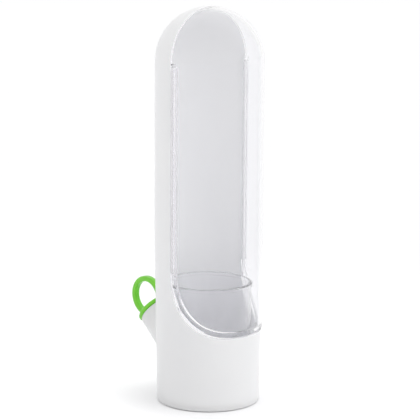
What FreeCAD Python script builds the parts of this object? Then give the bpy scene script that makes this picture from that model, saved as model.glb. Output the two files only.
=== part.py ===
"""Herb keeper: an upright capsule that holds cut herbs with their stems in water.

A white moulding is the back half of the capsule and the cup below it, with a filler spout
on its back.  A clear cover closes the front and slides up on two dovetail rails.  A clear
basket stands in the cup, a soft plug closes the spout and a plate closes the cup from below.

Millimetres.  +Z is up, the window faces -Y, the spout leaves towards +Y, and the origin is
on the tube's axis in the plane that the foot stands on.
"""
import FreeCAD, Part

import math
import os

# --- the body -----------------------------------------------------------------------------
TOTAL_HEIGHT = 279.0      # from the foot to the top of the dome
BODY_RADIUS = 38.0        # outside of the tube, of the dome on it and of the cover
FOOT_TAPER = 1.75         # the cup is this much smaller in radius at the foot
DRAFT_HEIGHT = 120.0      # the cup's taper runs out into the tube here
SHELL_WALL = 2.2          # back shell
COVER_WALL = 2.0          # clear cover
FOOT_BEVEL = 0.8          # of the cup's outer bottom edge

# --- the window in the shell, seen from the side --------------------------------------------
LIP_HEIGHT = 51.9         # rim of the cup at the very front
CORNER_HEIGHT = 94.5      # the lip curve meets the straight edges here
CORNER_PULL = 19.9        # how far the lip curve follows the straight edge
LIP_PULL = 20.2           # how far it follows the level rim at the front
SEAM_GAP = 0.3            # between the cover's edge and the shell's
SEAM_BEVEL = 0.35         # of the outer edges along the seam

# --- rails on the shell and the frame along the cover's edge ----------------------------------
RAIL_OUTER_WALL = 0.9     # plastic left between a rail's slot and the cover's outside
RAIL_NECK = 1.0
RAIL_HEAD = 1.8
RAIL_DEPTH = 2.0          # how far a rail stands forward of the shell's edge
RAIL_CLEARANCE = 0.3      # all round a rail in its slot
RAIL_END_MARGIN = 2.0     # a rail stops this far short of the dome and of the lip curve
RAIL_LEAD = 5.0           # length of the slope at a rail's top end
RAIL_LEAD_DEPTH = 0.6     # what is left of the rail at the end of the slope
EDGE_RIB_DEPTH = 3.0      # of the rib that stiffens the shell's straight edges
FRAME_WIDTH = 3.4
FRAME_END_SLOPE = 2.0     # where the frame runs out at the dome
TONGUE_WALL = 1.1         # tongue at the cover's foot, inside the cup's front
TONGUE_DEPTH = 3.0        # below the cup's rim
TONGUE_HALF_ANGLE = 48.0  # each side of the front, degrees
TONGUE_CLEARANCE = 0.3    # to the cup's inner wall

# --- the filler spout ------------------------------------------------------------------------
SPOUT_RISE = 40.0         # of its axis above the level, degrees
SPOUT_THROAT = 5.4        # from the tube's outside to the near edge of the mouth
SPOUT_MOUTH_HEIGHT = 55.4
SPOUT_RADIUS = 13.65      # outside, at the mouth
SPOUT_DRAFT = 3.0         # degrees, wider towards the body
SPOUT_WALL = 2.05         # at the mouth
SPOUT_MOUTH_BEVEL = 0.5
SPOUT_ROOT_ROUND = 3.0

# --- the plug --------------------------------------------------------------------------------
PLUG_CLEARANCE = 0.7      # of the stopper's wall in the bore
SEAL_RIB_CLEARANCE = 0.15
SEAL_RIB_HEIGHT = 2.0
SEAL_RIB_COUNT = 2
SEAL_RIB_PITCH = 4.3      # also from the mouth to the first rib
STOPPER_LENGTH = 12.0
STOPPER_WALL = 2.2
STOPPER_LEAD = 0.8        # chamfer at its tip
FLANGE_OVERHANG = 0.65    # beyond the spout's outside
FLANGE_THICKNESS = 3.0
FLANGE_BEVEL = 0.8
FLANGE_SEAT_GAP = 0.2     # between the flange and the mouth
LOOP_RISE = 13.8          # centre of the finger loop above the mouth
LOOP_OUTER_RADIUS = 14.5
LOOP_INNER_RADIUS = 11.0
LOOP_WIDTH = 4.2          # across the band
LOOP_BEVEL = 0.9

# --- the base plate --------------------------------------------------------------------------
PLATE_THICKNESS = 2.4
PLATE_RIM_WALL = 1.3      # of the shell, outside the plate
PLATE_CLEARANCE = 0.1
FOOT_RING_INSET = 1.85    # from the plate's edge
FOOT_RING_WIDTH = 3.0
FOOT_RING_HEIGHT = 1.6
FOOT_RING_BEVEL = 0.5
SHELL_FOOT_GAP = 0.5      # the shell's bottom edge stands this far off the table

# --- the basket ------------------------------------------------------------------------------
BASKET_RIM_TOP = 86.0     # above the table
BASKET_RIM_CLEARANCE = 2.4   # between its rim and the cover's frame
BASKET_RIM_OVERHANG = 0.8    # of the rim beyond the wall
BASKET_RIM_HEIGHT = 2.6
BASKET_RIM_BEVEL = 0.6
BASKET_WALL = 1.5
BASKET_FLOOR_BEVEL = 1.0
BASKET_STAND_GAP = 0.3    # between its feet and the plate
BASKET_FEET = 3           # each between two slots of the floor
BASKET_FOOT_HEIGHT = 3.7
BASKET_FOOT_RADIUS = 3.0
BASKET_FOOT_INSET = 2.4   # from the floor's edge to a foot
SLOT_COUNT = 6            # in the wall, and as many in the floor
SLOT_WIDTH = 4.0
WALL_SLOT_START = 6.5     # above the floor
WALL_SLOT_LENGTH = 26.0
DRAIN_RADIUS = 3.0        # of the hole in the floor's middle
DRAIN_HUB = 4.0           # floor left solid round that hole
DRAIN_EDGE = 5.0          # floor left solid along the wall

# --- values that follow from those -----------------------------------------------------------
MARGIN = 10.0             # how far cutting tools reach past what they cut
TOUCH = 0.01              # points nearer than this count as touching
ARC_HANDLE = 0.552        # handle of a curve that follows a quarter circle, per unit of radius
DOME_BASE = TOTAL_HEIGHT - BODY_RADIUS
FOOT_RADIUS = BODY_RADIUS - FOOT_TAPER
RAIL_RADIUS = BODY_RADIUS - RAIL_OUTER_WALL - RAIL_CLEARANCE - RAIL_HEAD / 2
RAIL_BOTTOM = CORNER_HEIGHT + RAIL_END_MARGIN
RAIL_TOP = DOME_BASE - RAIL_END_MARGIN
TONGUE_BOTTOM = LIP_HEIGHT - TONGUE_DEPTH
CUP_AT_TONGUE = FOOT_RADIUS + FOOT_TAPER * TONGUE_BOTTOM / DRAFT_HEIGHT - SHELL_WALL
TONGUE_RADIUS = CUP_AT_TONGUE - TONGUE_CLEARANCE
FRAME_RADIUS = TONGUE_RADIUS - TONGUE_WALL      # inner face of the frame, flush with the tongue
SPOUT_BORE = SPOUT_RADIUS - SPOUT_WALL
SPOUT_REACH = SPOUT_THROAT + SPOUT_RADIUS * math.sin(math.radians(SPOUT_RISE))    # to the mouth's centre
PLATE_TOP = FOOT_RING_HEIGHT + PLATE_THICKNESS
PLATE_SEAT_RADIUS = FOOT_RADIUS - PLATE_RIM_WALL
BASKET_RIM_RADIUS = FRAME_RADIUS - BASKET_RIM_CLEARANCE
BASKET_RADIUS = BASKET_RIM_RADIUS - BASKET_RIM_OVERHANG
BASKET_UNDERSIDE = PLATE_TOP + BASKET_STAND_GAP + BASKET_FOOT_HEIGHT
BASKET_FLOOR = BASKET_UNDERSIDE + BASKET_WALL

ORIGIN = FreeCAD.Vector(0, 0, 0)
UP = FreeCAD.Vector(0, 0, 1)
ACROSS = FreeCAD.Vector(1, 0, 0)
SPOUT_MOUTH = FreeCAD.Vector(0, BODY_RADIUS + SPOUT_REACH, SPOUT_MOUTH_HEIGHT)


def line(a, b):
    return Part.makeLine(a, b)


def polygon_face(points):
    """A flat face with straight sides through these points."""
    return Part.Face(Part.makePolygon(points + [points[0]]))


def turned_polygon(points):
    """The solid that an outline of straight lines, given as radius and height, makes about Z."""
    corners = [FreeCAD.Vector(radius, 0, height) for radius, height in points]
    return polygon_face(corners).revolve(ORIGIN, UP, 360)


def edges_where(shape, test):
    """The edges of a shape that pass a test at every one of a few points along them."""
    real = [edge for edge in shape.Edges if edge.Length > TOUCH]
    return [edge for edge in real if all(test(point) for point in edge.discretize(7))]


def all_round(shape, count):
    """Copies of a shape, evenly spaced about Z."""
    copies = []
    for index in range(count):
        turn = shape.copy()
        turn.rotate(ORIGIN, UP, index * 360 / count)
        copies.append(turn)
    return copies


def on_spout(shape):
    """A shape moved from the spout's own frame, +Z out of its mouth, to its place on the body."""
    placed = shape.copy()
    placed.rotate(ORIGIN, ACROSS, SPOUT_RISE - 90)
    placed.translate(SPOUT_MOUTH)
    return placed


# --- the capsule and the window ------------------------------------------------------------------
def capsule(inset, foot_radius, pole):
    """A solid capsule, this far inside the body's skin, from the table up to its dome.

    The wall runs from foot_radius at the table to the tube's radius at DRAFT_HEIGHT.  The
    dome's ball has its pole on the side, towards +Y or -Y, that the piece made from it lacks.
    """
    radius = BODY_RADIUS - inset
    centre = FreeCAD.Vector(0, 0, DOME_BASE)
    tube = turned_polygon([
        (0, 0), (foot_radius - inset, 0), (radius, DRAFT_HEIGHT), (radius, DOME_BASE), (0, DOME_BASE)])
    ball = Part.makeSphere(radius, centre, FreeCAD.Vector(0, pole, 1))
    return tube.fuse(ball.common(Part.makeCylinder(2 * radius, 2 * radius, centre)))


def shell_body(inset):
    return capsule(inset, FOOT_RADIUS, -1)


def cover_body(inset):
    return capsule(inset, BODY_RADIUS, 1)


def ahead_of_seam(inset):
    """Everything in front of the window's outline, with the outline moved this far forward."""
    reach = BODY_RADIUS + MARGIN
    top = TOTAL_HEIGHT + MARGIN
    handle = ARC_HANDLE * inset

    def at(y, z):
        return FreeCAD.Vector(-reach, y, z)

    corner = at(-inset, CORNER_HEIGHT)
    corner_handle = at(-inset, CORNER_HEIGHT - CORNER_PULL + handle)
    lip_handle = at(-BODY_RADIUS + LIP_PULL - handle, LIP_HEIGHT + inset)
    lip = at(-BODY_RADIUS, LIP_HEIGHT + inset)
    lip_curve = Part.BezierCurve()
    lip_curve.setPoles([corner, corner_handle, lip_handle, lip])
    front_low = at(-reach, LIP_HEIGHT + inset)
    front_high = at(-reach, top)
    back_high = at(-inset, top)
    outline = Part.Wire([
        line(back_high, corner), lip_curve.toShape(), line(lip, front_low),
        line(front_low, front_high), line(front_high, back_high)])
    return Part.Face(outline).extrude(FreeCAD.Vector(2 * reach, 0, 0))


def bevel_outer_seam(shape, body, inset):
    """Bevel a shell's outer edges along the seam; body gives its outside at an inset."""
    core = body(SEAM_BEVEL)
    ahead = ahead_of_seam(inset)
    behind = ahead_of_seam(inset + SEAM_BEVEL)

    def on_outer_seam(point):
        on_skin = not core.isInside(point, TOUCH, True)
        on_seam = ahead.isInside(point, TOUCH, True) and not behind.isInside(point, TOUCH, True)
        return on_skin and on_seam

    return shape.makeChamfer(SEAM_BEVEL, edges_where(shape, on_outer_seam))


# --- rails ---------------------------------------------------------------------------------------
def dovetail(side, clearance, bottom, top):
    """A dovetail bar on the shell's straight edge, on the +X or -X side, this much larger all round."""
    neck = RAIL_NECK / 2 + clearance
    head = RAIL_HEAD / 2 + clearance
    root = SHELL_WALL / 2
    tip = -RAIL_DEPTH - clearance
    outline = [(-neck, root), (-neck, 0), (-head, tip), (head, tip), (neck, 0), (neck, root)]
    points = [FreeCAD.Vector(side * (RAIL_RADIUS + x), y, bottom) for x, y in outline]
    return polygon_face(points).extrude(FreeCAD.Vector(0, 0, top - bottom))


def rail(side):
    """A rail whose top end slopes back, so that the cover finds it from above."""
    reach = BODY_RADIUS + MARGIN
    slope = [(-RAIL_DEPTH, RAIL_TOP - RAIL_LEAD), (-RAIL_LEAD_DEPTH, RAIL_TOP), (-reach, RAIL_TOP)]
    points = [FreeCAD.Vector(-reach, y, z) for y, z in slope]
    above_slope = polygon_face(points).extrude(FreeCAD.Vector(2 * reach, 0, 0))
    return dovetail(side, 0, RAIL_BOTTOM, RAIL_TOP).cut(above_slope)


def edge_ribs():
    """The ribs inside the tube that stiffen the shell's two straight edges behind the rails."""
    inner = RAIL_RADIUS - RAIL_HEAD / 2
    corner = FreeCAD.Vector(inner, 0, RAIL_BOTTOM)
    ribs = Part.makeBox(BODY_RADIUS - inner, EDGE_RIB_DEPTH, DOME_BASE - RAIL_BOTTOM, corner)
    ribs = ribs.fuse(ribs.mirror(ORIGIN, ACROSS))
    return ribs.common(shell_body(SHELL_WALL / 2))


# --- pieces --------------------------------------------------------------------------------------
def spout_outside():
    """The spout as a solid cone that reaches through the body's wall."""
    slant = math.cos(math.radians(SPOUT_RISE))
    length = (SPOUT_REACH + SPOUT_RADIUS + SHELL_WALL) / slant
    root_radius = SPOUT_RADIUS + length * math.tan(math.radians(SPOUT_DRAFT))
    return on_spout(Part.makeCone(root_radius, SPOUT_RADIUS, length, FreeCAD.Vector(0, 0, -length)))


def spout_bore():
    length = BODY_RADIUS + SPOUT_REACH
    return on_spout(Part.makeCylinder(SPOUT_BORE, length + MARGIN, FreeCAD.Vector(0, 0, -length)))


def back_shell():
    """The white moulding: back half of the capsule, cup and spout, with the cover's rails."""
    table_gap = Part.makeCylinder(BODY_RADIUS + MARGIN, SHELL_FOOT_GAP)
    body = shell_body(0).cut(table_gap)
    spout = spout_outside()
    mouth_plane = on_spout(Part.makeCylinder(SPOUT_RADIUS + MARGIN, MARGIN))

    def at_root(point):
        return body.isInside(point, TOUCH, True) and spout.isInside(point, TOUCH, True)

    def at_mouth(point):
        return mouth_plane.isInside(point, TOUCH, True)

    def at_foot(point):
        return point.z < SHELL_FOOT_GAP + TOUCH

    shape = body.fuse(spout)
    shape = shape.makeFillet(SPOUT_ROOT_ROUND, edges_where(shape, at_root))
    shape = shape.makeChamfer(FOOT_BEVEL, edges_where(shape, at_foot))
    shape = shape.cut(shell_body(SHELL_WALL)).cut(spout_bore()).cut(ahead_of_seam(0))
    shape = shape.makeChamfer(SPOUT_MOUTH_BEVEL, edges_where(shape, at_mouth))
    shape = bevel_outer_seam(shape, shell_body, 0)
    shape = shape.cut(Part.makeCylinder(PLATE_SEAT_RADIUS, PLATE_TOP))
    return shape.fuse([edge_ribs(), rail(-1), rail(1)]).removeSplitter()


def tongue():
    """The arc at the cover's foot that keeps it inside the cup's front."""
    height = CORNER_HEIGHT
    ring = Part.makeCylinder(TONGUE_RADIUS, height, ORIGIN, UP, 2 * TONGUE_HALF_ANGLE)
    ring = ring.cut(Part.makeCylinder(FRAME_RADIUS, height))
    ring.rotate(ORIGIN, UP, -90 - TONGUE_HALF_ANGLE)
    return ring.common(ahead_of_seam(-TONGUE_DEPTH)).cut(ahead_of_seam(SEAM_GAP + FRAME_WIDTH))


def front_cover():
    """The clear cover: a thin half capsule with a thick frame along its straight and lower edges."""
    region = ahead_of_seam(SEAM_GAP)
    outside = cover_body(0)
    skin = outside.cut(cover_body(COVER_WALL)).common(region)
    frame = outside.cut(turned_polygon([
        (0, 0), (FRAME_RADIUS, 0), (FRAME_RADIUS, DOME_BASE - FRAME_END_SLOPE),
        (FRAME_RADIUS + FRAME_END_SLOPE, DOME_BASE), (BODY_RADIUS, DOME_BASE),
        (BODY_RADIUS, TOTAL_HEIGHT), (0, TOTAL_HEIGHT)]))
    frame = frame.common(region).cut(ahead_of_seam(SEAM_GAP + FRAME_WIDTH))
    cover = skin.fuse([frame, tongue()]).removeSplitter()
    cover = bevel_outer_seam(cover, cover_body, SEAM_GAP)
    slots = [dovetail(side, RAIL_CLEARANCE, 0, RAIL_TOP + RAIL_CLEARANCE) for side in (-1, 1)]
    return cover.cut(slots)


def filler_plug():
    """The soft plug in one piece: hollow stopper with seal ribs, flange and finger loop."""
    stopper = SPOUT_BORE - PLUG_CLEARANCE
    hollow = stopper - STOPPER_WALL
    rib = SPOUT_BORE - SEAL_RIB_CLEARANCE
    tip = -STOPPER_LENGTH
    flange = SPOUT_RADIUS + FLANGE_OVERHANG
    top = FLANGE_SEAT_GAP + FLANGE_THICKNESS
    outline = [(0, 0), (hollow, 0), (hollow, tip), (stopper - STOPPER_LEAD, tip), (stopper, tip + STOPPER_LEAD)]
    for number in range(SEAL_RIB_COUNT, 0, -1):
        crest = -number * SEAL_RIB_PITCH
        outline += [(stopper, crest - SEAL_RIB_HEIGHT / 2), (rib, crest), (stopper, crest + SEAL_RIB_HEIGHT / 2)]
    outline += [
        (stopper, FLANGE_SEAT_GAP), (flange - FLANGE_BEVEL, FLANGE_SEAT_GAP),
        (flange, FLANGE_SEAT_GAP + FLANGE_BEVEL), (flange, top - FLANGE_BEVEL), (flange - FLANGE_BEVEL, top),
        (0, top)]

    middle = FreeCAD.Vector(-LOOP_WIDTH / 2, 0, LOOP_RISE)
    loop = Part.makeCylinder(LOOP_OUTER_RADIUS, LOOP_WIDTH, middle, ACROSS)
    loop = loop.cut(Part.makeCylinder(LOOP_INNER_RADIUS, LOOP_WIDTH, middle, ACROSS))
    loop = loop.makeChamfer(LOOP_BEVEL, edges_where(loop, lambda point: abs(point.x) > LOOP_WIDTH / 2 - TOUCH))
    under_flange = Part.makeCylinder(LOOP_OUTER_RADIUS, LOOP_OUTER_RADIUS, FreeCAD.Vector(0, 0, top), -UP)
    return on_spout(turned_polygon(outline).fuse(loop.cut(under_flange)).removeSplitter())


def base_plate():
    """The disc that closes the cup from below, with the ring that the keeper stands on."""
    edge = PLATE_SEAT_RADIUS - PLATE_CLEARANCE
    ring_out = edge - FOOT_RING_INSET
    ring_in = ring_out - FOOT_RING_WIDTH
    return turned_polygon([
        (0, FOOT_RING_HEIGHT), (ring_in, FOOT_RING_HEIGHT), (ring_in, FOOT_RING_BEVEL),
        (ring_in + FOOT_RING_BEVEL, 0), (ring_out - FOOT_RING_BEVEL, 0), (ring_out, FOOT_RING_BEVEL),
        (ring_out, FOOT_RING_HEIGHT), (edge, FOOT_RING_HEIGHT), (edge, PLATE_TOP), (0, PLATE_TOP)])


def slot_cutter(start, length, height):
    """A bar along +X whose section, seen from above, is as wide as a slot, with round ends."""
    radius = SLOT_WIDTH / 2
    low = start + radius
    high = start + length - radius
    bar = Part.makeBox(high - low, SLOT_WIDTH, height, FreeCAD.Vector(low, -radius, 0))
    ends = [Part.makeCylinder(radius, height, FreeCAD.Vector(x, 0, 0)) for x in (low, high)]
    return bar.fuse(ends)


def basket_slots():
    """The slots in the basket's wall and floor, and the hole in the floor's middle."""
    wall = slot_cutter(BASKET_FLOOR + WALL_SLOT_START, WALL_SLOT_LENGTH, BODY_RADIUS)
    wall.rotate(ORIGIN, FreeCAD.Vector(0, 1, 0), -90)
    inner = DRAIN_RADIUS + DRAIN_HUB
    outer = BASKET_RADIUS - DRAIN_EDGE
    floor = slot_cutter(inner, outer - inner, BASKET_FLOOR + TOUCH)
    drain = Part.makeCylinder(DRAIN_RADIUS, BASKET_FLOOR + TOUCH)
    half_step = 180 / SLOT_COUNT
    floor.rotate(ORIGIN, UP, half_step)
    return all_round(wall, SLOT_COUNT) + all_round(floor, SLOT_COUNT) + [drain]


def herb_basket():
    """The clear basket: wall and floor with slots, thick rim and feet."""
    rim_low = BASKET_RIM_TOP - BASKET_RIM_HEIGHT
    inside = BASKET_RADIUS - BASKET_WALL
    basket = turned_polygon([
        (0, BASKET_UNDERSIDE), (BASKET_RADIUS - BASKET_FLOOR_BEVEL, BASKET_UNDERSIDE),
        (BASKET_RADIUS, BASKET_UNDERSIDE + BASKET_FLOOR_BEVEL), (BASKET_RADIUS, rim_low),
        (BASKET_RIM_RADIUS, rim_low), (BASKET_RIM_RADIUS, BASKET_RIM_TOP - BASKET_RIM_BEVEL),
        (BASKET_RIM_RADIUS - BASKET_RIM_BEVEL, BASKET_RIM_TOP), (inside, BASKET_RIM_TOP),
        (inside, BASKET_FLOOR), (0, BASKET_FLOOR)])
    foot_ring = BASKET_RADIUS - BASKET_FOOT_INSET - BASKET_FOOT_RADIUS
    foot_low = FreeCAD.Vector(foot_ring, 0, PLATE_TOP + BASKET_STAND_GAP)
    foot = Part.makeCylinder(BASKET_FOOT_RADIUS, BASKET_FOOT_HEIGHT + BASKET_WALL / 2, foot_low)
    return basket.fuse(all_round(foot, BASKET_FEET)).cut(basket_slots()).removeSplitter()


PARTS = {
    "back_shell": back_shell,
    "front_cover": front_cover,
    "filler_plug": filler_plug,
    "base_plate": base_plate,
    "herb_basket": herb_basket,
}


def main():
    os.makedirs("parts", exist_ok=True)
    for name, make in PARTS.items():
        shape = make()
        print(name, shape.isValid(), len(shape.Solids), round(shape.Volume, 1), shape.BoundBox)
        shape.exportStep(os.path.join("parts", name + ".step"))


if __name__ == "__main__":
    main()
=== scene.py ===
"""Looks of the herb keeper: its mouldings, the clear cover, the soft plug and a plain studio.

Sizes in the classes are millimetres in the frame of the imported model: +Z up, the window
faces -Y, the filler spout leaves towards +Y, and the origin is where the tube's axis meets
the table.  Meshes are scaled to metres when they are made.
"""
import logging
import math
from dataclasses import dataclass
from enum import Enum
from typing import Any, Callable, ClassVar, Optional, Sequence

import bmesh
import bpy
from bmesh.types import BMesh
from bpy.types import ID, Material, Node, NodeSocket, NodeTree, Object
from mathutils import Matrix, Vector


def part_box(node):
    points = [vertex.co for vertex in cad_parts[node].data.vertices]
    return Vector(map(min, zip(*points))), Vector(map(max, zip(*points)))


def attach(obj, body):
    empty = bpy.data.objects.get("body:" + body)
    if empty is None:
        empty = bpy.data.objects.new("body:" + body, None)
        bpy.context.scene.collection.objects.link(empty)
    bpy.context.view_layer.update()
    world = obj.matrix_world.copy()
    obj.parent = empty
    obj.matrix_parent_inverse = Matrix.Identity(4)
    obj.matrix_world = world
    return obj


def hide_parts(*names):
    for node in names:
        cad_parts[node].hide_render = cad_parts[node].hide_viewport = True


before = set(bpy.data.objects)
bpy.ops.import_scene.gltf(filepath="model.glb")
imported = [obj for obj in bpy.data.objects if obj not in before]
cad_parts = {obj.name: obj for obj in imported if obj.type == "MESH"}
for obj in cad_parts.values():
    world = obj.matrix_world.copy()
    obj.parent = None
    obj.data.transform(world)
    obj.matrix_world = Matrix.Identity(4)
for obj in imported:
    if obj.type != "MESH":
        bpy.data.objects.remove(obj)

log = logging.getLogger("herb_keeper")

MM = 0.001                          # metres in a millimetre
SAME_POINT = 1e-6                   # vertices nearer than this, in metres, are one
NO_LENGTH = SAME_POINT / 10         # edges shorter than this, in metres, are dissolved
SMOOTH_BELOW = math.radians(40)     # edges that turn less than this are shaded smooth
ROUND_BEND = 0.293                  # how far the middle of a quarter round lies from each side
ROUND_STEPS = 4                     # segments in each round of an outline
HALVINGS = 40                       # of a range in which a crossing is looked for
JUMP = 0.02                         # mm of height in which a section changes at once
NOISE_RANGE = (0.25, 0.75)          # where nearly all of a noise's values lie
NOISE_DECAY = 0.5                   # strength of a noise's finer layer, of the one before
PURE_WHITE = (1.0, 1.0, 1.0, 1.0)
ALL_COLOURS = (1.0, 1.0, 1.0)       # as far for red as for green and blue

# A Mix node's sockets go by number: its share, what it mixes, and its result.
COLOUR_MIX = (0, 6, 7, 2)
NUMBER_MIX = (0, 2, 3, 0)

# Rays that see the white of the room, and rays that go straight through clear plastic.
SEEING = ("Is Camera Ray", "Is Glossy Ray", "Is Transmission Ray")
UNBENT = ("Is Shadow Ray", "Is Diffuse Ray")

Loop = list[Vector]
Grid = list[Loop]
Outline = list[tuple[float, float]]


# --- small tools ------------------------------------------------------------------------------
def hex_colour(code: str) -> tuple[float, float, float, float]:
    """Turns an sRGB hex value into the linear colour that shaders take.

    Args:
        code: Six hex digits after a '#'.

    Returns:
        Linear red, green and blue, and 1.
    """
    # The numbers are those of the sRGB standard's curve.
    channels = [int(code[start:start + 2], 16) / 255 for start in (1, 3, 5)]
    linear = [c / 12.92 if c <= 0.04045 else ((c + 0.055) / 1.055) ** 2.4 for c in channels]
    return (linear[0], linear[1], linear[2], 1.0)


def mix(a: float, b: float, share: float) -> float:
    """The value that lies this share of the way from a to b."""
    return a + (b - a) * share


def root_between(low: float, high: float, value: Callable[[float], float]) -> float:
    """Finds where a rising function crosses zero.

    Args:
        low: A place where the function is negative.
        high: A place where it is positive.
        value: The function.

    Returns:
        The place where it crosses.
    """
    for _ in range(HALVINGS):
        middle = (low + high) / 2
        if value(middle) > 0:
            high = middle
        else:
            low = middle
    return (low + high) / 2


def on_arc(centre: Vector, start: Vector, end: Vector, share: float) -> Vector:
    """The point this share of the way along the arc about a centre, from start to end."""
    first, last = start - centre, end - centre
    return centre + first.slerp(last, share) * mix(first.length, last.length, share)


def rounded(corners: Sequence[tuple[float, float, float]]) -> Outline:
    """Makes an outline whose corners are replaced by arcs.

    Args:
        corners: Two coordinates and a radius for each corner; a radius of 0 keeps it sharp.

    Returns:
        The outline's points.
    """
    points = []
    for index, (x, y, radius) in enumerate(corners):
        if radius == 0:
            points.append((x, y))
            continue
        corner = Vector((x, y, 0))
        back = (Vector((*corners[index - 1][:2], 0)) - corner).normalized()
        ahead = (Vector((*corners[(index + 1) % len(corners)][:2], 0)) - corner).normalized()
        half = back.angle(ahead) / 2
        centre = corner + (back + ahead).normalized() * radius / math.sin(half)
        start = corner + back * radius / math.tan(half)
        end = corner + ahead * radius / math.tan(half)
        for step in range(ROUND_STEPS + 1):
            place = on_arc(centre, start, end, step / ROUND_STEPS)
            points.append((place.x, place.y))
    return points


def turned_rows(outline: Outline, count: int) -> Grid:
    """Rows of points that an outline, given as radius and height, makes about Z."""
    angles = [2 * math.pi * index / count for index in range(count)]
    return [[Vector((r * math.cos(a), r * math.sin(a), z)) for a in angles] for r, z in outline]


def loft(mesh: BMesh, rows: Grid, closed: bool = False,
         skip: Callable[[int, int], bool] = lambda row, column: False) -> None:
    """Joins rows of points, all of one length, with quads.

    Args:
        mesh: Where the faces go.
        rows: The rows, in millimetres.
        closed: True if each row's last point joins its first.
        skip: Tells by row and column which faces are left out.
    """
    made = [[mesh.verts.new(point * MM) for point in row] for row in rows]
    count = len(rows[0])
    for row, (low, high) in enumerate(zip(made, made[1:])):
        for index in range(count if closed else count - 1):
            after = (index + 1) % count
            if not skip(row, index):
                mesh.faces.new((low[index], low[after], high[after], high[index]))
    stray = [vert for row in made for vert in row if not vert.link_faces]
    bmesh.ops.delete(mesh, geom=stray, context="VERTS")


def new_object(name: str, data: ID) -> Object:
    """Makes an object and links it to the scene.

    Args:
        name: The object's name.
        data: Its mesh, light or camera.

    Returns:
        The object.
    """
    made = bpy.data.objects.new(name, data)
    bpy.context.scene.collection.objects.link(made)
    return made


def mesh_object(mesh: BMesh, name: str) -> Object:
    """Welds a mesh's seams, turns its faces outwards and makes an object of it.

    Args:
        mesh: The mesh, which is freed.
        name: The new object's name.

    Returns:
        The object.
    """
    bmesh.ops.remove_doubles(mesh, verts=mesh.verts, dist=SAME_POINT)
    bmesh.ops.dissolve_degenerate(mesh, edges=mesh.edges, dist=NO_LENGTH)
    bmesh.ops.recalc_face_normals(mesh, faces=mesh.faces)
    data = bpy.data.meshes.new(name)
    mesh.to_mesh(data)
    mesh.free()
    data.shade_smooth()
    data.set_sharp_from_angle(angle=SMOOTH_BELOW)
    return new_object(name, data)


# --- shaders ----------------------------------------------------------------------------------
def add_node(tree: NodeTree, kind: str, settings: Optional[dict[str, Any]] = None,
             inputs: Optional[dict[Any, Any]] = None) -> Node:
    """Adds a node, sets it up and links what feeds it.

    Args:
        tree: The node tree.
        kind: The node's type name.
        settings: Properties of the node.
        inputs: A value, or a socket to link, for each input by name or number.

    Returns:
        The node.
    """
    made = tree.nodes.new(kind)
    for name, value in (settings or {}).items():
        setattr(made, name, value)
    for name, value in (inputs or {}).items():
        if isinstance(value, NodeSocket):
            tree.links.new(value, made.inputs[name])
        else:
            made.inputs[name].default_value = value
    return made


def new_material(name: str) -> tuple[Material, NodeTree]:
    """Makes a material without nodes.

    Args:
        name: Its name.

    Returns:
        The material and its node tree.
    """
    material = bpy.data.materials.new(name)
    material.use_nodes = True
    material.node_tree.nodes.clear()
    return material, material.node_tree


def noise_of(tree: NodeTree, size: float, detail: float = 2.0,
             stretch: Sequence[float] = (1, 1, 1),
             limits: Optional[tuple[float, float]] = None) -> NodeSocket:
    """Makes noise that is fixed to the piece.

    Args:
        tree: The material's node tree.
        size: Width of the noise's patches, in millimetres.
        detail: How many finer layers it has.
        stretch: Factors on the patches' size along X, Y and Z.
        limits: The values that it runs between, or None for plain noise.

    Returns:
        The noise's value.
    """
    place = add_node(tree, "ShaderNodeTexCoord").outputs["Object"]
    scale = tuple(1 / (size * MM * factor) for factor in stretch)
    spread = add_node(tree, "ShaderNodeMapping", inputs={"Vector": place, "Scale": scale})
    noise = add_node(tree, "ShaderNodeTexNoise", inputs={
        "Vector": spread.outputs["Vector"], "Scale": 1.0, "Detail": detail,
        "Roughness": NOISE_DECAY}).outputs["Fac"]
    if limits is None:
        return noise
    return add_node(tree, "ShaderNodeMapRange", inputs={
        "Value": noise, "From Min": NOISE_RANGE[0], "From Max": NOISE_RANGE[1],
        "To Min": limits[0], "To Max": limits[1]}).outputs["Result"]


def relief(tree: NodeTree, layers: Sequence[tuple[NodeSocket, float]]) -> NodeSocket:
    """Makes surface relief from several noises.

    Args:
        tree: The material's node tree.
        layers: A noise and its height in millimetres for each layer.

    Returns:
        The bent normal.
    """
    before: dict[Any, Any] = {}
    for noise, height in layers:
        bump = add_node(tree, "ShaderNodeBump", inputs={
            "Height": noise, "Distance": height * MM, "Strength": 1.0, **before})
        before = {"Normal": bump.outputs["Normal"]}
    return before["Normal"]


def ray_is(tree: NodeTree, kinds: Sequence[str]) -> NodeSocket:
    """Tells rays of some kinds from others.

    Args:
        tree: The node tree.
        kinds: The kinds, as the Light Path node names them.

    Returns:
        1 for a ray of any of the kinds, and 0 for others.
    """
    path = add_node(tree, "ShaderNodeLightPath")
    found = path.outputs[kinds[0]]
    for kind in kinds[1:]:
        found = add_node(tree, "ShaderNodeMath", {"operation": "MAXIMUM"}, {
            0: found, 1: path.outputs[kind]}).outputs[0]
    return found


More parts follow.
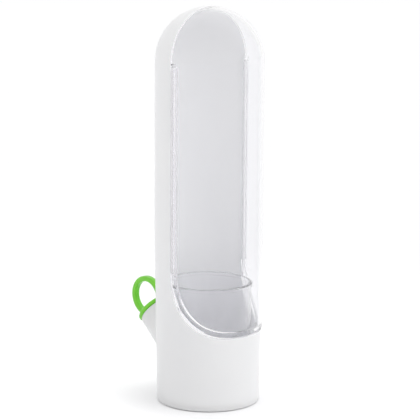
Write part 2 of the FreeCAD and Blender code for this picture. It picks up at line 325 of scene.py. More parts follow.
@dataclass(frozen=True)
class MouldedPlastic:
    """An opaque injection-moulded plastic.

    The colour drifts a little over the moulding, where the melt cooled unevenly.  The surface
    carries the mould's fine texture and the broad waves of shrinkage, which break up a
    reflection that would be perfect on a drawn shape.
    """

    name: str
    colour: str
    shade: str
    drift_size: float = 45.0        # mm, of the colour's patches
    roughness: tuple[float, float] = (0.3, 0.38)
    wear_size: float = 9.0          # mm, of duller and glossier patches
    wear_detail: float = 3.0
    wave_size: float = 14.0         # mm, between the waves of shrinkage
    wave_height: float = 0.02       # mm
    grain_size: float = 0.9         # mm; the real texture is finer, and this is what shows
    grain_height: float = 0.003     # mm
    ior: float = 1.53
    scatter: float = 0.0            # share of light that enters and leaves elsewhere
    scatter_depth: float = 1.5      # mm
    bloom: float = 0.0              # pale veil of a soft rubber's skin, seen at a slant
    bloom_spread: float = 0.35      # how far the veil reaches in from the outline

    def material(self) -> Material:
        """Builds the finish.

        Returns:
            The material.
        """
        made, tree = new_material(self.name)
        share, first, second, result = COLOUR_MIX
        colour = add_node(tree, "ShaderNodeMix", {"data_type": "RGBA"}, {
            share: noise_of(tree, self.drift_size, limits=(0, 1)),
            first: hex_colour(self.colour), second: hex_colour(self.shade)}).outputs[result]
        dullness = noise_of(tree, self.wear_size, self.wear_detail, limits=self.roughness)
        normal = relief(tree, [(noise_of(tree, self.wave_size), self.wave_height),
                               (noise_of(tree, self.grain_size), self.grain_height)])
        surface = add_node(tree, "ShaderNodeBsdfPrincipled", {"subsurface_method": "RANDOM_WALK"}, {
            "Base Color": colour, "Roughness": dullness, "Normal": normal, "IOR": self.ior,
            "Subsurface Weight": self.scatter, "Subsurface Scale": self.scatter_depth * MM,
            "Subsurface Radius": ALL_COLOURS, "Sheen Weight": self.bloom,
            "Sheen Roughness": self.bloom_spread})
        add_node(tree, "ShaderNodeOutputMaterial", inputs={"Surface": surface.outputs["BSDF"]})
        return made


@dataclass(frozen=True)
class ClearPlastic:
    """A transparent injection-moulded plastic.

    The melt leaves long faint streaks where it flowed, and handling leaves patches that are
    a touch duller.  Light from the lamps goes straight on through its thin walls.
    """

    name: str
    tint: str
    roughness: tuple[float, float] = (0.02, 0.06)
    streak_size: float = 16.0       # mm, across the flow
    streak_stretch: float = 5.0     # times as long as wide, along Z
    streak_height: float = 0.004    # mm
    smear_size: float = 7.0         # mm
    smear_detail: float = 3.0
    ior: float = 1.57

    def material(self) -> Material:
        """Builds the finish.

        Returns:
            The material.
        """
        made, tree = new_material(self.name)
        dullness = noise_of(tree, self.smear_size, self.smear_detail, limits=self.roughness)
        streaks = noise_of(tree, self.streak_size, stretch=(1, 1, self.streak_stretch))
        glass = add_node(tree, "ShaderNodeBsdfPrincipled", inputs={
            "Base Color": hex_colour(self.tint), "Roughness": dullness,
            "Normal": relief(tree, [(streaks, self.streak_height)]),
            "IOR": self.ior, "Transmission Weight": 1.0})
        open_air = add_node(tree, "ShaderNodeBsdfTransparent", inputs={
            "Color": hex_colour(self.tint)})
        surface = add_node(tree, "ShaderNodeMixShader", inputs={
            0: ray_is(tree, UNBENT), 1: glass.outputs["BSDF"], 2: open_air.outputs["BSDF"]})
        add_node(tree, "ShaderNodeOutputMaterial", inputs={"Surface": surface.outputs["Shader"]})
        return made


Finish = MouldedPlastic | ClearPlastic

# ABS from a polished mould: a clean white with a soft, slightly wide highlight.
WHITE_ABS = MouldedPlastic("white_moulded_abs", "#F4F4F4", "#F0F0F1",
                           scatter=0.7, scatter_depth=4.0)
# ABS from a spark-eroded mould: the same white, but it mirrors nothing.
MATT_ABS = MouldedPlastic("white_spark_eroded_abs", "#EEEEED", "#E8E8E9", roughness=(0.55, 0.65),
                          grain_height=0.012)
# Styrene acrylonitrile from a polished mould: water-clear with a faint cool cast.
CLEAR_SAN = ClearPlastic("clear_moulded_san", "#FCFCFD")
# The same resin from a finely blasted mould: what stands behind it turns soft.
FROSTED_SAN = ClearPlastic("frosted_moulded_san", "#FDFDFE", roughness=(0.1, 0.16))
# Liquid silicone rubber from a fine-blasted mould: saturated, soft sheen, light creeps in.
GREEN_SILICONE = MouldedPlastic("green_moulded_silicone", "#88DF48", "#7CD43A",
                                roughness=(0.36, 0.46), drift_size=12.0, wear_size=4.0,
                                wave_size=6.0, grain_size=0.7, grain_height=0.006, ior=1.41,
                                scatter=0.45, scatter_depth=1.2, bloom=1.0)


# --- the body's form --------------------------------------------------------------------------
class Half(Enum):
    """The two halves of the capsule, by the sign of their Y."""

    BACK = 1
    FRONT = -1

    def turn_of(self, point: Vector) -> float:
        """The turn about Z at which a point lies, from this half's middle towards +X."""
        return math.atan2(point.x, self.value * point.y)


class Zone(Enum):
    """The stretches of the window's edge."""

    LIP = "the curve across the front"
    SIDE = "a straight edge"
    DOME = "the arch over the top"


@dataclass(frozen=True)
class Station:
    """A place on the window's edge.

    side is the sign of X.  place is the share of the lip curve from corner to front, the
    height on a straight edge, or the angle round the dome from +X.
    """

    zone: Zone
    side: int
    place: float


@dataclass(frozen=True)
class BodyForm:
    """The capsule and the window's outline, which the shell and the cover share."""

    height: float
    radius: float
    foot_taper: float = 1.75        # the cup is this much smaller in radius at the foot
    taper_top: float = 120.0        # where the taper runs out
    lip: float = 51.9               # rim of the cup at the front
    corner: float = 94.5            # the lip curve meets the straight edges here
    corner_pull: float = 19.9       # length of the curve's handle down the straight edge
    lip_pull: float = 20.2          # length of its level handle at the front
    lip_front: tuple[float, float] = (0.5, 1.0)     # shares between which it meets the skin
    lip_steps: int = 32             # stations from a corner to the front
    dome_steps: int = 32            # rows of points over the dome
    plain_levels: tuple[float, ...] = (150.0, 180.0, 210.0)     # rows where nothing changes

    @property
    def dome_base(self) -> float:
        """Height where the dome starts."""
        return self.height - self.radius

    @property
    def columns(self) -> int:
        """Columns of faces round half of the capsule."""
        return 2 * self.lip_steps

    def window_edge(self, share: float, shift: float) -> tuple[float, float]:
        """Finds a point on the lip curve, seen from the side.

        Args:
            share: From 0 at the corner to 1 at the front.
            shift: How far the curve is moved towards the cover.

        Returns:
            Y and Z.
        """
        poles = [Vector((0, self.corner)), Vector((0, self.corner - self.corner_pull)),
                 Vector((self.lip_pull - self.radius, self.lip)), Vector((-self.radius, self.lip))]
        while len(poles) > 2:
            poles = [a.lerp(b, share) for a, b in zip(poles, poles[1:])]
        along = (poles[1] - poles[0]).normalized()
        place = poles[0].lerp(poles[1], share) + shift * Vector((along.y, -along.x))
        return place.x, place.y


@dataclass(frozen=True)
class CapsuleWall:
    """The wall of one moulding of the capsule, as a place for points.

    A point is given by its inset, the depth below the outer skin, and its offset, the
    distance into the moulding from its edge along the window.
    """

    form: BodyForm
    half: Half
    gap: float                      # from the window's outline to the moulding's edge
    levels: tuple[float, ...]       # heights of the rows of points along the straight edges

    def radius_at(self, z: float, inset: float) -> float:
        """The wall's radius at a height below the dome."""
        taper = self.form.foot_taper * max(0.0, 1 - z / self.form.taper_top)
        return self.form.radius - inset - (taper if self.half is Half.BACK else 0.0)

    def on_skin(self, turn: float, z: float, inset: float, facing: Half = Half.BACK) -> Vector:
        """The point on the wall at a height and a turn from a half's middle towards +X."""
        radius = self.radius_at(z, inset)
        return Vector((radius * math.sin(turn), facing.value * radius * math.cos(turn), z))

    def stations(self) -> list[Station]:
        """Lists the stations of the edge.

        Returns:
            Those along the lip from +X to -X, then up, over the dome and down.
        """
        steps = self.form.lip_steps
        lip = [Station(Zone.LIP, 1 if j <= steps else -1, 1 - abs(j - steps) / steps)
               for j in range(2 * steps + 1)]
        arch = [Station(Zone.DOME, 1, math.pi * j / self.form.columns)
                for j in range(self.form.columns - 1, 0, -1)]
        rise = [Station(Zone.SIDE, -1, z) for z in self.levels[1:]]
        fall = [Station(Zone.SIDE, 1, z) for z in reversed(self.levels[1:])]
        return lip + rise + arch + fall

    def point(self, station: Station, inset: float, offset: float) -> Vector:
        """Finds a point near the window's edge.

        Args:
            station: Where it is along the edge.
            inset: Its depth below the outer skin.
            offset: Its distance into the moulding.

        Returns:
            The point.
        """
        form = self.form
        edge = self.half.value * (self.gap + offset)
        if station.zone is Zone.LIP:
            def beyond(share: float) -> float:
                """How far the lip curve is in front of the skin."""
                y, z = form.window_edge(share, -edge)
                return -y - self.radius_at(z, inset)

            front = root_between(*form.lip_front, beyond)
            y, z = form.window_edge(front * math.sin(math.pi / 2 * station.place), -edge)
            reach = self.radius_at(z, inset) ** 2 - y ** 2
            x = station.side * math.sqrt(max(0.0, reach)) if station.place < 1 else 0.0
            return Vector((x, y, z))
        if station.zone is Zone.SIDE:
            radius = self.radius_at(station.place, inset)
            x = station.side * math.sqrt(radius ** 2 - edge ** 2)
            return Vector((x, edge, station.place))
        ring = math.sqrt((form.radius - inset) ** 2 - edge ** 2)
        return Vector((ring * math.cos(station.place), edge,
                       form.dome_base + ring * math.sin(station.place)))

    def lip_row(self, inset: float, offset: float) -> Loop:
        """The points along the lip, from +X to -X."""
        lip = self.stations()[:self.form.columns + 1]
        return [self.point(station, inset, offset) for station in lip]

    def level_row(self, z: float, inset: float, facing: Half, edge: float) -> Loop:
        """Makes half a ring of points from +X to -X.

        Args:
            z: Height of the ring.
            inset: Its depth below the outer skin.
            facing: The side of the plane Y = 0 that it is on.
            edge: How far its ends are from that plane.

        Returns:
            The points.
        """
        radius = self.radius_at(z, inset)
        ring = math.sqrt(radius ** 2 - edge ** 2)
        row = []
        for j in range(self.form.columns + 1):
            x = ring * math.cos(math.pi * j / self.form.columns)
            row.append(Vector((x, facing.value * math.sqrt(max(0.0, radius ** 2 - x ** 2)), z)))
        return row

    def span(self, first: Loop, last: Loop, shares: Sequence[float], inset: float,
             facing: Half = Half.BACK) -> Grid:
        """Makes rows of points on the wall between two rows that lie on it.

        Args:
            first: The row at share 0.
            last: The row at share 1.
            shares: Where the rows are.
            inset: Depth below the outer skin.
            facing: The side of the plane Y = 0 that they are on.

        Returns:
            The rows.
        """
        return [[self.on_skin(mix(facing.turn_of(a), facing.turn_of(b), share),
                              mix(a.z, b.z, share), inset, facing) for a, b in zip(first, last)]
                for share in shares]

    def upper_rows(self, inset: float, edge: float) -> Grid:
        """Makes rows of points from the lip's corners up and over the dome.

        Args:
            inset: Depth below the outer skin.
            edge: How far the rows end from the plane Y = 0.

        Returns:
            The rows.
        """
        rows = [self.level_row(z, inset, self.half, edge) for z in self.levels]
        base = rows[-1]
        for step in range(1, self.form.dome_steps + 1):
            row = []
            for low in base:
                depth = abs(low.y)
                most = math.acos(min(1.0, edge / depth)) if depth > edge else 0.0
                tilt = most * step / self.form.dome_steps
                row.append(Vector((low.x, self.half.value * depth * math.cos(tilt),
                                   self.form.dome_base + depth * math.sin(tilt))))
            rows.append(row)
        return rows

    def edge_loops(self, section: Callable[["CapsuleWall", Station], Outline]) -> Grid:
        """Makes closed loops of points along the whole edge.

        Args:
            section: Gives the moulding's cross-section at a station, as insets and offsets.

        Returns:
            One loop for each point of the cross-section.
        """
        stations = self.stations()
        sections = [section(self, station) for station in stations]
        return [[self.point(station, *at[index]) for station, at in zip(stations, sections)]
                for index in range(len(sections[0]))]


# --- pieces -------------------------------------------------------------------------------------
class Moulding:
    """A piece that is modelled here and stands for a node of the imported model."""

    node: ClassVar[str]
    body: ClassVar[str]
    slot: ClassVar[str]
    finish: ClassVar[Finish]

    def build(self) -> Object:
        """Builds the piece's mesh, which each moulding does in its own way."""
        raise NotImplementedError

    def dress(self, piece: Object) -> None:
        """Gives the piece its finish and evens the shading of its flats and rounds.

        Args:
            piece: The piece.
        """
        piece.data.materials.append(self.finish.material())
        even = piece.modifiers.new("even_shading", "WEIGHTED_NORMAL")
        even.keep_sharp = True

    def add(self) -> Object:
        """Builds and dresses the piece, and puts it in the node's place on its body.

        Returns:
            The piece.
        """
        piece = self.build()
        self.dress(piece)
        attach(piece, self.body)
        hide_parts(self.node)
        return piece


@dataclass(frozen=True)
class KeptNode:
    """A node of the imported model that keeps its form."""

    node: str
    finish: Finish

    def add(self) -> Object:
        """Dresses the node in its finish.

        Returns:
            The node's object.
        """
        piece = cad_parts[self.node]
        material = self.finish.material()
        for place in piece.material_slots:
            place.material = material
        return piece


@dataclass(frozen=True)
class RailFit:
    """The dovetail rails on the shell and their slots in the cover; all are straight bars."""

    centre: float = 35.9            # radius of a rail's middle
    neck: float = 0.5               # half width at the root
    head: float = 0.9               # half width at the tip
    depth: float = 2.0
    clearance: float = 0.3
    bottom: float = 96.5
    top: float = 239.0
    lead: float = 5.0               # length of the slope at the top end
    lead_depth: float = 0.6         # what is left of the rail at the end of the slope

    def depth_at(self, z: float) -> float:
        """How far a rail stands forward at a height."""
        sloped = mix(self.lead_depth, self.depth, (self.top - z) / self.lead)
        return min(self.depth, sloped) if self.bottom < z <= self.top else 0.0

    def section(self, outside: float, depth: float, play: float, most: float) -> Outline:
        """Draws the section of a rail or slot.

        Args:
            outside: Radius of the skin that insets are counted from.
            depth: How deep it is here.
            play: How much wider than the rail it is on each side.
            most: The largest inset that the edge's flat reaches.

        Returns:
            Insets with the depth at each, from the skin inwards.
        """
        neck = self.neck + play
        flare = (self.head - self.neck) * depth / self.depth
        near = outside - self.centre - neck
        far = min(outside - self.centre + neck, most)
        return [(near, 0.0), (near - flare, depth), (far + flare, depth), (far, 0.0)]


@dataclass(frozen=True)
class SpoutAxis:
    """The filler spout's own frame, whose first coordinate runs out of its mouth."""

    mouth_y: float = 52.174
    mouth_z: float = 55.4
    rise: float = math.radians(40)

    @property
    def out(self) -> Vector:
        """The direction out of the mouth."""
        return Vector((0, math.cos(self.rise), math.sin(self.rise)))

    @property
    def over(self) -> Vector:
        """The direction across the mouth that points upwards."""
        return Vector((0, -math.sin(self.rise), math.cos(self.rise)))

    def around(self, turn: float) -> Vector:
        """The direction from the axis outwards at a turn from +X."""
        return Vector((1, 0, 0)) * math.cos(turn) + self.over * math.sin(turn)

    def at(self, along: float, radius: float, turn: float) -> Vector:
        """A point at a distance past the mouth, a radius and a turn from +X."""
        mouth = Vector((0, self.mouth_y, self.mouth_z))
        return mouth + self.out * along + self.around(turn) * radius

    def turn_of(self, point: Vector) -> float:
        """The turn from +X at which a point lies about the axis."""
        return math.atan2((point - self.at(0, 0, 0)).dot(self.over), point.x)

    def along_of(self, point: Vector) -> float:
        """How far past the mouth a point lies."""
        return (point - self.at(0, 0, 0)).dot(self.out)


@dataclass(frozen=True)
class Spout:
    """The spout on the cup's back, with its root round and its bore."""

    axis: SpoutAxis
    radius: float = 13.65           # outside at the mouth
    draft: float = math.radians(3)  # wider towards the body
    bore: float = 11.6
    reach: float = 46.0             # the body's skin is nearer to the mouth than this
    lip_round: float = 0.5          # outside edge of the mouth
    bore_round: float = 0.25
    root_round: float = 3.0
    root_steps: int = 6
    # Rows of points, as shares of the way: on the outer skin, up the tube, down the bore and
    # on the inner skin.
    skin_shares: tuple[float, ...] = (0, 0.3, 0.58, 0.82)
    tube_shares: tuple[float, ...] = (0.3, 0.65, 1.0)
    bore_shares: tuple[float, ...] = (0.4, 0.8, 1.0)
    inner_shares: tuple[float, ...] = (0.2, 0.45, 0.72, 1.0)

    def outside_at(self, along: float) -> float:
        """The tube's outer radius at a distance past the mouth."""
        return self.radius - along * math.tan(self.draft)

    def pierces(self, wall: CapsuleWall, inset: float, turn: float, bore: bool) -> float:
        """Finds where a line along the tube goes through a skin of the body.

        Args:
            wall: The body's wall.
            inset: The skin's depth below the outer skin.
            turn: The line's turn about the spout's axis.
            bore: True for a line on the bore, false for one on the outside.

        Returns:
            The distance past the mouth, which is negative.
        """
        def beyond(along: float) -> float:
            """How far outside the skin a point of the line is."""
            point = self.axis.at(along, self.bore if bore else self.outside_at(along), turn)
            return math.hypot(point.x, point.y) - wall.radius_at(point.z, inset)

        return root_between(-self.reach, 0.0, beyond)

    def root(self, wall: CapsuleWall, turn: float) -> Loop:
        """Draws the round at the tube's root.

        Args:
            wall: The body's wall.
            turn: Where on the tube it is, about the spout's axis.

        Returns:
            The round's points, from the body's skin to the tube.
        """
        along = self.pierces(wall, 0.0, turn, False)
        corner = self.axis.at(along, self.outside_at(along), turn)
        taper = wall.form.foot_taper / wall.form.taper_top
        skin = Vector((corner.x, corner.y, -taper * math.hypot(corner.x, corner.y))).normalized()
        tube = (self.axis.around(turn) + self.axis.out * math.tan(self.draft)).normalized()
        crease = skin.cross(tube).normalized()
        away = crease.cross(skin)
        away = away if away.dot(tube) > 0 else -away
        up = crease.cross(tube)
        up = up if up.dot(self.axis.out) > 0 else -up
        half = away.angle(up) / 2
        reach = self.root_round / math.tan(half)
        centre = corner + (away + up).normalized() * self.root_round / math.sin(half)
        start = corner + away * reach
        end = corner + up * reach
        on_skin = wall.on_skin(Half.BACK.turn_of(start), start.z, 0.0)
        end_along = self.axis.along_of(end)
        on_tube = self.axis.at(end_along, self.outside_at(end_along), self.axis.turn_of(end))
        arc = []
        for step in range(self.root_steps + 1):
            share = step / self.root_steps
            point = on_arc(centre, start, end, share)
            arc.append(point + (on_skin - start) * (1 - share) + (on_tube - end) * share)
        return arc

    def rings(self, wall: CapsuleWall, depth: float, outer: Loop, inner: Loop) -> Grid:
        """Makes closed rows that carry the body's outer skin through the spout to its inner skin.

        Args:
            wall: The body's wall.
            depth: The wall's thickness.
            outer: A closed row on the outer skin round the spout.
            inner: The closed row that answers it on the inner skin.

        Returns:
            The rows from the outer one to the inner one.
        """
        axis = self.axis
        turns = [axis.turn_of(point) for point in outer]
        roots = [self.root(wall, turn) for turn in turns]
        rows = wall.span(outer, [arc[0] for arc in roots], self.skin_shares, 0.0)
        rows += [[arc[step] for arc in roots] for step in range(self.root_steps + 1)]
        lip = -self.lip_round
        for share in self.tube_shares:
            row = []
            for turn, arc in zip(turns, roots):
                bend = math.remainder(axis.turn_of(arc[-1]) - turn, 2 * math.pi)
                along = mix(axis.along_of(arc[-1]), lip, share)
                row.append(axis.at(along, self.outside_at(along), turn + bend * (1 - share)))
            rows.append(row)
        soft = self.bore_round
        mouth = [(lip * ROUND_BEND, self.radius + lip * ROUND_BEND), (0, self.radius + lip),
                 (0, self.bore + soft), (-soft * ROUND_BEND, self.bore + soft * ROUND_BEND),
                 (-soft, self.bore)]
        rows += [[axis.at(along, radius, turn) for turn in turns] for along, radius in mouth]
        ends = [self.pierces(wall, depth, turn, True) for turn in turns]
        rows += [[axis.at(mix(-soft, end, share), self.bore, turn)
                  for turn, end in zip(turns, ends)] for share in self.bore_shares]
        return rows + wall.span(rows[-1], inner, self.inner_shares, depth)


@dataclass(frozen=True)
class BackShell(Moulding):
    """The white moulding: back half of the capsule, cup, filler spout and the cover's rails."""

    form: BodyForm
    rails: RailFit
    spout: Spout
    wall: float = 2.2
    seam_round: float = 0.35
    rib_depth: float = 3.0          # of the rib behind each rail, and of the edge's flat strip
    rib_radius: float = 35.0        # to which the ribs reach inwards
    foot_gap: float = 0.5           # from the table to the shell's own edge
    foot_round: float = 0.8
    seat_radius: float = 34.95      # of the step that takes the base plate
    seat_top: float = 4.0
    cup_steps: int = 24             # rows from the foot to the window's edge
    rail_level: float = 108.0       # a row of points on the taper, above the rails' lower end
    spout_columns: tuple[int, int] = (16, 48)   # left out of the wall round the spout
    spout_rows: tuple[int, int] = (3, 21)       # left out in those columns

    node = "back_shell"
    body = "shell"
    slot = "white_shell"
    finish = WHITE_ABS

    def skin(self) -> CapsuleWall:
        """Describes the shell's wall.

        Returns:
            The wall that the shell's points lie on.
        """
        form, rails = self.form, self.rails
        levels = (form.corner, rails.bottom, rails.bottom + JUMP, self.rail_level, form.taper_top,
                  *form.plain_levels, rails.top - rails.lead, rails.top, rails.top + JUMP,
                  form.dome_base)
        return CapsuleWall(form, Half.BACK, 0.0, levels)

    def section(self, wall: CapsuleWall, station: Station) -> Outline:
        """Draws the section of the shell's edge.

        Args:
            wall: The shell's wall.
            station: Where on the edge it is.

        Returns:
            Insets and offsets, from the outer skin to the inner one.
        """
        z = wall.point(station, 0.0, 0.0).z
        straight = station.zone is Zone.SIDE
        outside = wall.radius_at(z, 0.0)
        ribbed = straight and z > self.rails.bottom
        inner = outside - self.rib_radius if ribbed else self.wall
        depth = self.rails.depth_at(z) if straight else 0.0
        rail = [(inset, -out) for inset, out in self.rails.section(outside, depth, 0.0, inner)]
        soft = self.seam_round
        return [(0.0, soft), (ROUND_BEND * soft, ROUND_BEND * soft), (soft, 0.0), *rail,
                (inner, 0.0), (inner, self.rib_depth), (self.wall, self.rib_depth)]

    def half_skin(self, mesh: BMesh, wall: CapsuleWall, inset: float, low: float,
                  edge: float) -> Loop:
        """Builds one side of the shell's wall.

        Args:
            mesh: Where the faces go.
            wall: The wall's shape.
            inset: Depth of this side below the outer skin.
            low: Height of its lowest row.
            edge: How far from the window's outline it ends.

        Returns:
            The closed row round the hole that is left for the spout.
        """
        shares = [step / self.cup_steps for step in range(self.cup_steps + 1)]
        upper = wall.upper_rows(inset, edge)
        front = wall.span(wall.level_row(low, inset, Half.FRONT, 0.0), wall.lip_row(inset, edge),
                          shares, inset, Half.FRONT)
        back = wall.span(wall.level_row(low, inset, Half.BACK, 0.0), upper[0], shares, inset)
        left, right = self.spout_columns
        bottom, top = self.spout_rows
        loft(mesh, front)
        loft(mesh, back, skip=lambda row, column: bottom <= row < top and left <= column < right)
        loft(mesh, upper)
        sill = [back[bottom][column] for column in range(left, right)]
        jamb = [back[row][right] for row in range(bottom, top)]
        head = [back[top][column] for column in range(right, left, -1)]
        other = [back[row][left] for row in range(top, bottom, -1)]
        return sill + jamb + head + other

    def build(self) -> Object:
        """Builds the moulding as one closed mesh.

        Returns:
            The piece.
        """
        wall = self.skin()
        mesh = bmesh.new()
        foot = self.foot_gap + self.foot_round
        outer = self.half_skin(mesh, wall, 0.0, foot, self.seam_round)
        inner = self.half_skin(mesh, wall, self.wall, self.seat_top, self.rib_depth)
        loft(mesh, self.spout.rings(wall, self.wall, outer, inner), closed=True)
        loft(mesh, wall.edge_loops(self.section), closed=True)
        skirt = wall.radius_at(foot, 0.0)
        bend = ROUND_BEND * self.foot_round
        loft(mesh, turned_rows([
            (skirt, foot), (skirt - bend, self.foot_gap + bend),
            (skirt - self.foot_round, self.foot_gap), (self.seat_radius, self.foot_gap),
            (self.seat_radius, self.seat_top),
            (wall.radius_at(self.seat_top, self.wall), self.seat_top)],
            2 * self.form.columns), closed=True)
        return mesh_object(mesh, "shell_moulding")


@dataclass(frozen=True)
class FrontCover(Moulding):
    """The clear front half of the capsule, with a thick frame along its edge and a tongue."""

    form: BodyForm
    rails: RailFit
    wall: float = 2.0
    seam_gap: float = 0.3
    seam_round: float = 0.35
    frame_radius: float = 33.363    # inner face of the frame
    frame_width: float = 3.4
    frame_end: float = 2.0          # length of the slope where the frame runs out
    frame_round: float = 0.4
    tongue_radius: float = 34.463   # outer face of the tongue
    tongue_depth: float = 3.3       # below the cover's own edge
    tongue_half_angle: float = math.radians(48)
    lip_rows: int = 8               # from the lip to the level of its corners

    node = "front_cover"
    body = "cover"
    slot = "clear_cover"
    finish = CLEAR_SAN

    def skin(self) -> CapsuleWall:
        """Describes the cover's wall.

        Returns:
            The wall that the cover's points lie on.
        """
        form, rails = self.form, self.rails
        slot_top = rails.top + rails.clearance
        levels = (form.corner, form.taper_top, *form.plain_levels, rails.top, slot_top,
                  slot_top + JUMP, form.dome_base)
        return CapsuleWall(form, Half.FRONT, self.seam_gap, levels)

    def section(self, wall: CapsuleWall, station: Station) -> Outline:
        """Draws the section of the cover's edge.

        Args:
            wall: The cover's wall.
            station: Where on the edge it is.

        Returns:
            Insets and offsets, from the outer skin to the inner one.
        """
        edge = wall.point(station, 0.0, 0.0)
        outside = self.form.radius
        frame_depth = outside - self.frame_radius
        deep = self.rails.depth + self.rails.clearance
        if station.zone is Zone.DOME:
            frame_depth = self.wall
            depth = 0.0
        elif station.zone is Zone.SIDE:
            frame_depth -= max(0.0, edge.z - (self.form.dome_base - self.frame_end))
            slotted = edge.z <= self.rails.top + self.rails.clearance
            depth = deep - self.seam_gap if slotted else 0.0
        else:
            depth = max(0.0, deep - abs(edge.y))
        front = station.zone is Zone.LIP and abs(Half.FRONT.turn_of(edge)) <= self.tongue_half_angle
        below = self.tongue_depth if front else 0.0
        tongue = min(outside - self.tongue_radius, frame_depth)
        soft = self.seam_round
        curl = min(self.frame_round, (frame_depth - self.wall) / 2)
        bend = ROUND_BEND * curl
        width = self.frame_width
        slot = self.rails.section(outside, depth, self.rails.clearance, frame_depth)
        return [(0.0, soft), (ROUND_BEND * soft, ROUND_BEND * soft), (soft, 0.0), *slot,
                (tongue, 0.0), (tongue, -below), (frame_depth, -below),
                (frame_depth, width - curl), (frame_depth - bend, width - bend),
                (frame_depth - curl, width), (self.wall + curl, width),
                (self.wall + bend, width + bend), (self.wall, width + self.frame_round)]

    def half_skin(self, mesh: BMesh, wall: CapsuleWall, inset: float, offset: float) -> None:
        """Builds one side of the cover's wall.

        Args:
            mesh: Where the faces go.
            wall: The wall's shape.
            inset: Depth of this side below the outer skin.
            offset: How far from the cover's own edge it ends.
        """
        shares = [step / self.lip_rows for step in range(self.lip_rows + 1)]
        upper = wall.upper_rows(inset, self.seam_gap + offset)
        loft(mesh, wall.span(wall.lip_row(inset, offset), upper[0], shares, inset, Half.FRONT))
        loft(mesh, upper)

    def build(self) -> Object:
        """Builds the moulding as one closed mesh.

        Returns:
            The piece.
        """
        wall = self.skin()
        mesh = bmesh.new()
        self.half_skin(mesh, wall, 0.0, self.seam_round)
        self.half_skin(mesh, wall, self.wall, self.frame_width + self.frame_round)
        loft(mesh, wall.edge_loops(self.section), closed=True)
        return mesh_object(mesh, "clear_cover_moulding")


@dataclass(frozen=True)
class FillerPlug(Moulding):
    """The soft plug: hollow stopper with seal ribs, flange and finger loop."""

    axis: SpoutAxis
    stopper: float = 10.9           # outer radius
    hollow: float = 8.7
    hollow_round: float = 0.8       # at its closed end
    length: float = 12.0
    end_rounds: tuple[float, float] = (0.6, 1.0)    # of the stopper's end, inside and outside
    rib: float = 11.4               # radius at the crest of a seal rib
    rib_height: float = 2.0
    rib_pitch: float = 4.3
    rib_round: float = 0.3
    flange: float = 14.3
    flange_low: float = 0.2
    flange_top: float = 3.2
    flange_rounds: tuple[float, float, float] = (0.3, 1.9, 0.9)     # at its root, below and above
    loop_centre: float = 13.8       # past the mouth
    loop_outer: float = 14.8
    loop_inner: float = 10.8
    loop_width: float = 4.8
    loop_round: float = 1.1
    loop_foot: float = 1.0          # the loop ends here, inside the flange
    columns: int = 96               # round the stopper, and round the loop
    skin_grain: float = 0.42        # size of the faces of the skin that joins loop and flange
    soften: float = 0.5             # share of a bump that one smoothing takes away
    soften_times: int = 4

    node = "filler_plug"
    body = "plug"
    slot = "green_plug"
    finish = GREEN_SILICONE

    def body_outline(self) -> Outline:
        """Draws the outline that turns about the axis.

        Returns:
            Radius and distance past the mouth of each point.
        """
        inside, outside = self.end_rounds
        root, below, above = self.flange_rounds
        corners = [(0.0, 0.0, 0.0), (self.hollow, 0.0, self.hollow_round),
                   (self.hollow, -self.length, inside), (self.stopper, -self.length, outside)]
        for crest in (-2 * self.rib_pitch, -self.rib_pitch):
            corners += [(self.stopper, crest - self.rib_height / 2, 0.0),
                        (self.rib, crest, self.rib_round),
                        (self.stopper, crest + self.rib_height / 2, 0.0)]
        corners += [(self.stopper, self.flange_low, root), (self.flange, self.flange_low, below),
                    (self.flange, self.flange_top, above), (0.0, self.flange_top, 0.0)]
        return rounded(corners)

    def loop_section(self) -> Outline:
        """Draws the finger loop's section.

        Returns:
            Radius and distance from the loop's middle plane of each point.
        """
        half = self.loop_width / 2
        corners = [(self.loop_inner, -half), (self.loop_outer, -half), (self.loop_outer, half),
                   (self.loop_inner, half)]
        return rounded([(radius, side, self.loop_round) for radius, side in corners])

    def build(self) -> Object:
        """Builds the plug as one closed mesh with soft joins.

        Returns:
            The piece.
        """
        mesh = bmesh.new()
        turns = [2 * math.pi * index / self.columns for index in range(self.columns)]
        loft(mesh, [[self.axis.at(along, radius, turn) for turn in turns]
                    for radius, along in self.body_outline()], closed=True)
        section = self.loop_section()
        rows = []
        for turn in turns + turns[:1]:
            row = []
            for radius, side in section:
                along = max(self.loop_foot, self.loop_centre + radius * math.sin(turn))
                across = self.axis.at(along, radius * math.cos(turn), math.pi / 2)
                row.append(across + Vector((side, 0, 0)))
            rows.append(row)
        loft(mesh, rows, closed=True)
        return self.melt(mesh_object(mesh, "plug_parts"))

    def melt(self, rough: Object) -> Object:
        """Joins the parts of a mesh into one soft skin and smooths it.

        Args:
            rough: The object with the parts, which is removed.

        Returns:
            The plug.
        """
        remesh = rough.modifiers.new("join", "REMESH")
        remesh.mode = "VOXEL"
        remesh.voxel_size = self.skin_grain * MM
        smooth = rough.modifiers.new("soften", "SMOOTH")
        smooth.factor = self.soften
        smooth.iterations = self.soften_times
        graph = bpy.context.evaluated_depsgraph_get()
        data = bpy.data.meshes.new_from_object(rough.evaluated_get(graph))
        bpy.data.objects.remove(rough)
        data.shade_smooth()
        return new_object("plug_moulding", data)


# --- studio -------------------------------------------------------------------------------------
@dataclass(frozen=True)
class BroadLamp:
    """Light from one side, as even over the whole floor as daylight through a large diffuser.

    Gloss and glass show only the room, because the diffuser's edge lies outside it.
    """

    comes_from: tuple[float, float, float] = (0.4, -0.85, 0.6)
    strength: float = 0.45                  # W per square metre
    spread: float = math.radians(55)        # how wide it looks, which softens the shadow

    def add(self) -> None:
        """Adds the lamp."""
        data = bpy.data.lights.new("broad_lamp", "SUN")
        data.energy = self.strength
        data.angle = self.spread
        lamp = new_object("broad_lamp", data)
        lamp.visible_glossy = False
        lamp.visible_transmission = False
        lamp.rotation_euler = Vector(self.comes_from).to_track_quat("Z", "Y").to_euler()


